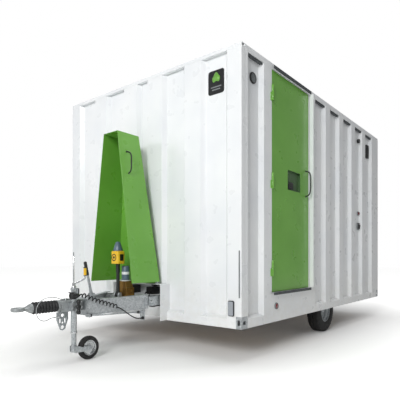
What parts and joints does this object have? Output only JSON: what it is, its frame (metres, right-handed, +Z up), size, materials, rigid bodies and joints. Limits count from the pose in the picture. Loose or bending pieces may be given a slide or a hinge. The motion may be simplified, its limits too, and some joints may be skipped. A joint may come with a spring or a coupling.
{
  "type": "towable site cabin",
  "caption": "Corrugated steel cabin on a lowering axle, with a side door, and a drawbar with a jockey wheel under a fold-down hood.",
  "frame": {"origin": "on the ground, under the middle of the whole trailer from the towing eye's tip to the lifting eyes", "axes": "+Z up, -Y the towing direction, +X the door side"},
  "size_m": [2.368, 4.9539, 2.57],
  "materials": {
    "white_paint": "gloss",
    "green_paint": "satin",
    "galvanised": "dull",
    "bright_steel": "satin",
    "cast_paint": "dull",
    "black_paint": "satin",
    "black_plastic": "matte",
    "lamp_plastic": "gloss",
    "plate_plastic": "gloss",
    "yellow_plastic": "satin",
    "rubber": "matte",
    "tyre": "matte",
    "plywood": "matte",
    "lining_board": "matte",
    "pump_paint": "satin"
  },
  "bodies": {
    "cabin": {"side_rails": "white_paint", "end_rails": "white_paint", "cross_members": "galvanised", "corner_blocks": "galvanised", "corner_posts": "white_paint", "top_rails": "white_paint", "roof_panel": "white_paint", "floor_deck": "plywood", "front_wall": "white_paint", "rear_wall": "white_paint", "far_side_wall": "white_paint", "door_side_wall_front": "white_paint", "door_side_wall_rear": "white_paint", "interior_lining": "lining_board", "wheel_arches": "galvanised", "door_frame": "white_paint", "threshold_panel": "white_paint", "door_hinge_pins": "galvanised", "wall_fittings": "black_plastic", "lamps": "lamp_plastic", "name_plates": "plate_plastic", "lifting_eyes": "galvanised", "ram_cylinder": "black_paint", "hinge_housing": "white_paint", "hood_hinge_pin": "galvanised", "drawbar_brackets": "galvanised", "pump_unit": "pump_paint"},
    "door": {"door_leaf": "green_paint", "latch_recess": "green_paint", "door_pull_handle": "bright_steel"},
    "latch": {"latch_paddle": "black_plastic"},
    "hood": {"hood_shell": "green_paint", "hood_handle": "bright_steel"},
    "axle": {"swing_axle": "galvanised"},
    "wheel_left": {"tyre_left": "tyre", "rim_left": "galvanised"},
    "wheel_right": {"tyre_right": "tyre", "rim_right": "galvanised"},
    "ram": {"ram_rod": "bright_steel"},
    "drawbar": {"drawbar_frame": "galvanised", "coupling_housing": "cast_paint", "drop_plate": "galvanised", "jockey_clamp": "galvanised", "jockey_outer_tube": "galvanised", "brake_mount": "galvanised", "gaiter": "rubber", "lead_gland": "black_plastic", "lead_tail": "rubber", "curly_lead": "rubber", "lead_plug": "black_plastic", "breakaway_cable": "bright_steel", "breakaway_hook": "galvanised"},
    "overrun": {"towing_eye": "cast_paint"},
    "brake_lever": {"brake_lever": "galvanised"},
    "clamp_handle": {"clamp_handle": "black_plastic"},
    "jockey_crank": {"jockey_crank": "galvanised"},
    "jockey_leg": {"jockey_leg": "galvanised"},
    "jockey_fork": {"jockey_fork": "galvanised"},
    "jockey_wheel": {"jockey_wheel": "rubber"},
    "pump_lever": {"pump_lever": "yellow_plastic"}
  },
  "joints": [
    {"name": "door_hinge", "type": "hinge", "parent": "cabin", "child": "door", "pos_m": [1.16, -0.698, 1.5], "axis": [0, 0, -1], "range_deg": [0, 100]},
    {"name": "latch_pull", "type": "hinge", "parent": "door", "child": "latch", "pos_m": [1.137, -0.323, 1.559], "axis": [0, -1, 0], "range_deg": [0, 30], "stiffness_Nm_per_rad": 0.6, "springref_deg": -11.46},
    {"name": "hood_hinge", "type": "hinge", "parent": "cabin", "child": "hood", "pos_m": [0, -1.227, 0.617], "axis": [1, 0, 0], "range_deg": [0, 18]},
    {"name": "axle_swing", "type": "hinge", "parent": "cabin", "child": "axle", "pos_m": [0, 0.36409, 0.375], "axis": [1, 0, 0], "range_deg": [0, 53.49]},
    {"name": "wheel_left_spin", "type": "hinge", "parent": "axle", "child": "wheel_left", "pos_m": [1.033, 0.632, 0.24], "axis": [1, 0, 0], "continuous": true},
    {"name": "wheel_right_spin", "type": "hinge", "parent": "axle", "child": "wheel_right", "pos_m": [-1.033, 0.632, 0.24], "axis": [1, 0, 0], "continuous": true},
    {"name": "ram_stroke", "type": "slide", "parent": "cabin", "child": "ram", "axis": [0, 1, 0], "range_m": [0, 0.0685]},
    {"name": "drawbar_hinge", "type": "hinge", "parent": "cabin", "child": "drawbar", "pos_m": [0, -1.353, 0.455], "axis": [-1, 0, 0], "range_deg": [0, 14]},
    {"name": "overrun_slide", "type": "slide", "parent": "drawbar", "child": "overrun", "axis": [0, 1, 0], "range_m": [0, 0.06], "stiffness_N_per_m": 20000, "springref_m": -0.005, "deforming": ["gaiter"]},
    {"name": "brake_pull", "type": "hinge", "parent": "drawbar", "child": "brake_lever", "pos_m": [0.03, -1.793, 0.526], "axis": [-1, 0, 0], "range_deg": [0, 15]},
    {"name": "clamp_turn", "type": "hinge", "parent": "drawbar", "child": "clamp_handle", "pos_m": [0.14, -1.997, 0.452], "axis": [1, 0, 0], "range_deg": [0, 720]},
    {"name": "jockey_winding", "type": "hinge", "parent": "drawbar", "child": "jockey_crank", "pos_m": [0.074, -1.997, 0.62], "axis": [0, 0, 1], "range_deg": [0, 4020]},
    {"name": "jockey_lift", "type": "slide", "parent": "drawbar", "child": "jockey_leg", "axis": [0, 0, 1], "range_m": [0, 0.056]},
    {"name": "jockey_swivel", "type": "hinge", "parent": "jockey_leg", "child": "jockey_fork", "pos_m": [0.074, -1.997, 0.13], "axis": [0, 0, 1], "continuous": true},
    {"name": "jockey_wheel_spin", "type": "hinge", "parent": "jockey_fork", "child": "jockey_wheel", "pos_m": [0.074, -1.857, 0.0975], "axis": [1, 0, 0], "continuous": true},
    {"name": "pump_stroke", "type": "hinge", "parent": "cabin", "child": "pump_lever", "pos_m": [0, -1.48, 0.506], "axis": [1, 0, 0], "range_deg": [0, 10]}
  ],
  "couplings": [
    {"joint": "ram_stroke", "follows": "axle_swing", "m_per_rad": 0.0722},
    {"joint": "jockey_winding", "follows": "jockey_lift", "rad_per_m": 1250}
  ]
}
